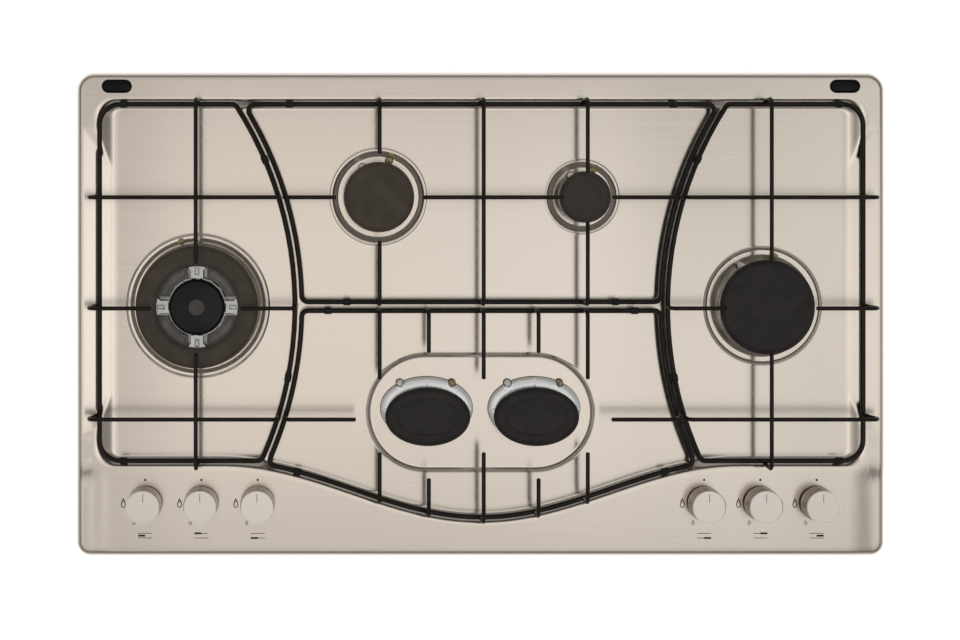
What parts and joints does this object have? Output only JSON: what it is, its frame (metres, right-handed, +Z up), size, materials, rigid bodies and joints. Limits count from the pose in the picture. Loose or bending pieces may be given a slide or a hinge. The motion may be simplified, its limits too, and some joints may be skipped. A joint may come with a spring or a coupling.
{
  "type": "gas cooktop",
  "caption": "Built-in gas cooktop: brushed steel tray with a wok burner, round burners, paired oval burners, wire pan supports and push-and-turn knobs on a curved front panel.",
  "frame": {"origin": "centre of the part's bounding box at its lowest plane, the underside of the base pan", "axes": "+X to the right seen from the front, +Y to the back, +Z up; knobs are at the front"},
  "size_m": [0.87, 0.52, 0.088],
  "materials": {
    "brushed_top": "brushed along X, satin",
    "pan_steel": "galvanised sheet, dull",
    "seal_foam": "closed-cell foam, matte",
    "gas_steel": "zinc-plated tube",
    "module_plastic": "moulded, matte",
    "burner_alloy": "die-cast, light blast",
    "ceramic": "glazed white ceramic",
    "probe_metal": "plain",
    "tap_alloy": "die-cast",
    "spindle_brass": "turned",
    "plug_plastic": "gloss black",
    "knob_metal": "satin silver",
    "cap_enamel": "satin black enamel",
    "grate_enamel": "gloss black enamel"
  },
  "bodies": {
    "hob": {"top_panel": "brushed_top", "base_pan": "pan_steel", "rim_seal": "seal_foam", "gas_rail": "gas_steel", "ignition_module": "module_plastic", "hinge_plug_left": "plug_plastic", "hinge_plug_right": "plug_plastic", "burner_cup_wok": "burner_alloy", "burner_cup_semi": "burner_alloy", "burner_cup_aux": "burner_alloy", "burner_cup_rapid": "burner_alloy", "burner_cup_fish_left": "burner_alloy", "burner_cup_fish_right": "burner_alloy", "burner_head_wok": "burner_alloy", "burner_head_semi": "burner_alloy", "burner_head_aux": "burner_alloy", "burner_head_rapid": "burner_alloy", "burner_head_fish_left": "burner_alloy", "burner_head_fish_right": "burner_alloy", "spark_electrode_wok": "ceramic", "spark_electrode_semi": "ceramic", "spark_electrode_aux": "ceramic", "spark_electrode_rapid": "ceramic", "spark_electrode_fish_left": "ceramic", "spark_electrode_fish_right": "ceramic", "flame_probe_wok": "probe_metal", "flame_probe_semi": "probe_metal", "flame_probe_aux": "probe_metal", "flame_probe_rapid": "probe_metal", "flame_probe_fish_left": "probe_metal", "flame_probe_fish_right": "probe_metal", "tap_wok": "tap_alloy", "tap_semi": "tap_alloy", "tap_fish_left": "tap_alloy", "tap_fish_right": "tap_alloy", "tap_aux": "tap_alloy", "tap_rapid": "tap_alloy"},
    "valve_wok": {"spindle_wok": "spindle_brass"},
    "control_wok": {"knob_wok": "knob_metal"},
    "valve_semi": {"spindle_semi": "spindle_brass"},
    "control_semi": {"knob_semi": "knob_metal"},
    "valve_fish_left": {"spindle_fish_left": "spindle_brass"},
    "control_fish_left": {"knob_fish_left": "knob_metal"},
    "valve_fish_right": {"spindle_fish_right": "spindle_brass"},
    "control_fish_right": {"knob_fish_right": "knob_metal"},
    "valve_aux": {"spindle_aux": "spindle_brass"},
    "control_aux": {"knob_aux": "knob_metal"},
    "valve_rapid": {"spindle_rapid": "spindle_brass"},
    "control_rapid": {"knob_rapid": "knob_metal"},
    "lid_wok_ring": {"cap_wok_ring": "cap_enamel"},
    "lid_wok_centre": {"cap_wok_centre": "cap_enamel"},
    "lid_semi": {"cap_semi": "cap_enamel"},
    "lid_aux": {"cap_aux": "cap_enamel"},
    "lid_rapid": {"cap_rapid": "cap_enamel"},
    "lid_fish_left": {"cap_fish_left": "cap_enamel"},
    "lid_fish_right": {"cap_fish_right": "cap_enamel"},
    "support_left": {"grate_left": "grate_enamel"},
    "support_right": {"grate_right": "grate_enamel"},
    "support_back": {"grate_back": "grate_enamel"},
    "support_front": {"grate_front": "grate_enamel"}
  },
  "joints": [
    {"name": "turn_wok", "type": "hinge", "parent": "hob", "child": "valve_wok", "pos_m": [-0.361, -0.2025, 0.04], "axis": [0, 0, 1], "range_deg": [0, 150]},
    {"name": "push_wok", "type": "slide", "parent": "valve_wok", "child": "control_wok", "axis": [0, 0, -1], "range_m": [0, 0.0035], "stiffness_N_per_m": 1200, "springref_m": -0.002},
    {"name": "turn_semi", "type": "hinge", "parent": "hob", "child": "valve_semi", "pos_m": [-0.3005, -0.2025, 0.04], "axis": [0, 0, 1], "range_deg": [0, 150]},
    {"name": "push_semi", "type": "slide", "parent": "valve_semi", "child": "control_semi", "axis": [0, 0, -1], "range_m": [0, 0.0035], "stiffness_N_per_m": 1200, "springref_m": -0.002},
    {"name": "turn_fish_left", "type": "hinge", "parent": "hob", "child": "valve_fish_left", "pos_m": [-0.24, -0.2025, 0.04], "axis": [0, 0, 1], "range_deg": [0, 150]},
    {"name": "push_fish_left", "type": "slide", "parent": "valve_fish_left", "child": "control_fish_left", "axis": [0, 0, -1], "range_m": [0, 0.0035], "stiffness_N_per_m": 1200, "springref_m": -0.002},
    {"name": "turn_fish_right", "type": "hinge", "parent": "hob", "child": "valve_fish_right", "pos_m": [0.24, -0.2025, 0.04], "axis": [0, 0, 1], "range_deg": [0, 150]},
    {"name": "push_fish_right", "type": "slide", "parent": "valve_fish_right", "child": "control_fish_right", "axis": [0, 0, -1], "range_m": [0, 0.0035], "stiffness_N_per_m": 1200, "springref_m": -0.002},
    {"name": "turn_aux", "type": "hinge", "parent": "hob", "child": "valve_aux", "pos_m": [0.3005, -0.2025, 0.04], "axis": [0, 0, 1], "range_deg": [0, 150]},
    {"name": "push_aux", "type": "slide", "parent": "valve_aux", "child": "control_aux", "axis": [0, 0, -1], "range_m": [0, 0.0035], "stiffness_N_per_m": 1200, "springref_m": -0.002},
    {"name": "turn_rapid", "type": "hinge", "parent": "hob", "child": "valve_rapid", "pos_m": [0.361, -0.2025, 0.04], "axis": [0, 0, 1], "range_deg": [0, 150]},
    {"name": "push_rapid", "type": "slide", "parent": "valve_rapid", "child": "control_rapid", "axis": [0, 0, -1], "range_m": [0, 0.0035], "stiffness_N_per_m": 1200, "springref_m": -0.002},
    {"name": "lift_cap_wok_ring", "type": "slide", "parent": "hob", "child": "lid_wok_ring", "axis": [0, 0, 1], "range_m": [0, 0.008]},
    {"name": "lift_cap_wok_centre", "type": "slide", "parent": "hob", "child": "lid_wok_centre", "axis": [0, 0, 1], "range_m": [0, 0.008]},
    {"name": "lift_cap_semi", "type": "slide", "parent": "hob", "child": "lid_semi", "axis": [0, 0, 1], "range_m": [0, 0.008]},
    {"name": "lift_cap_aux", "type": "slide", "parent": "hob", "child": "lid_aux", "axis": [0, 0, 1], "range_m": [0, 0.008]},
    {"name": "lift_cap_rapid", "type": "slide", "parent": "hob", "child": "lid_rapid", "axis": [0, 0, 1], "range_m": [0, 0.008]},
    {"name": "lift_cap_fish_left", "type": "slide", "parent": "hob", "child": "lid_fish_left", "axis": [0, 0, 1], "range_m": [0, 0.008]},
    {"name": "lift_cap_fish_right", "type": "slide", "parent": "hob", "child": "lid_fish_right", "axis": [0, 0, 1], "range_m": [0, 0.008]},
    {"name": "lift_grate_left", "type": "slide", "parent": "hob", "child": "support_left", "axis": [0, 0, 1], "range_m": [0, 0.06]},
    {"name": "lift_grate_right", "type": "slide", "parent": "hob", "child": "support_right", "axis": [0, 0, 1], "range_m": [0, 0.06]},
    {"name": "lift_grate_back", "type": "slide", "parent": "hob", "child": "support_back", "axis": [0, 0, 1], "range_m": [0, 0.06]},
    {"name": "lift_grate_front", "type": "slide", "parent": "hob", "child": "support_front", "axis": [0, 0, 1], "range_m": [0, 0.06]}
  ]
}
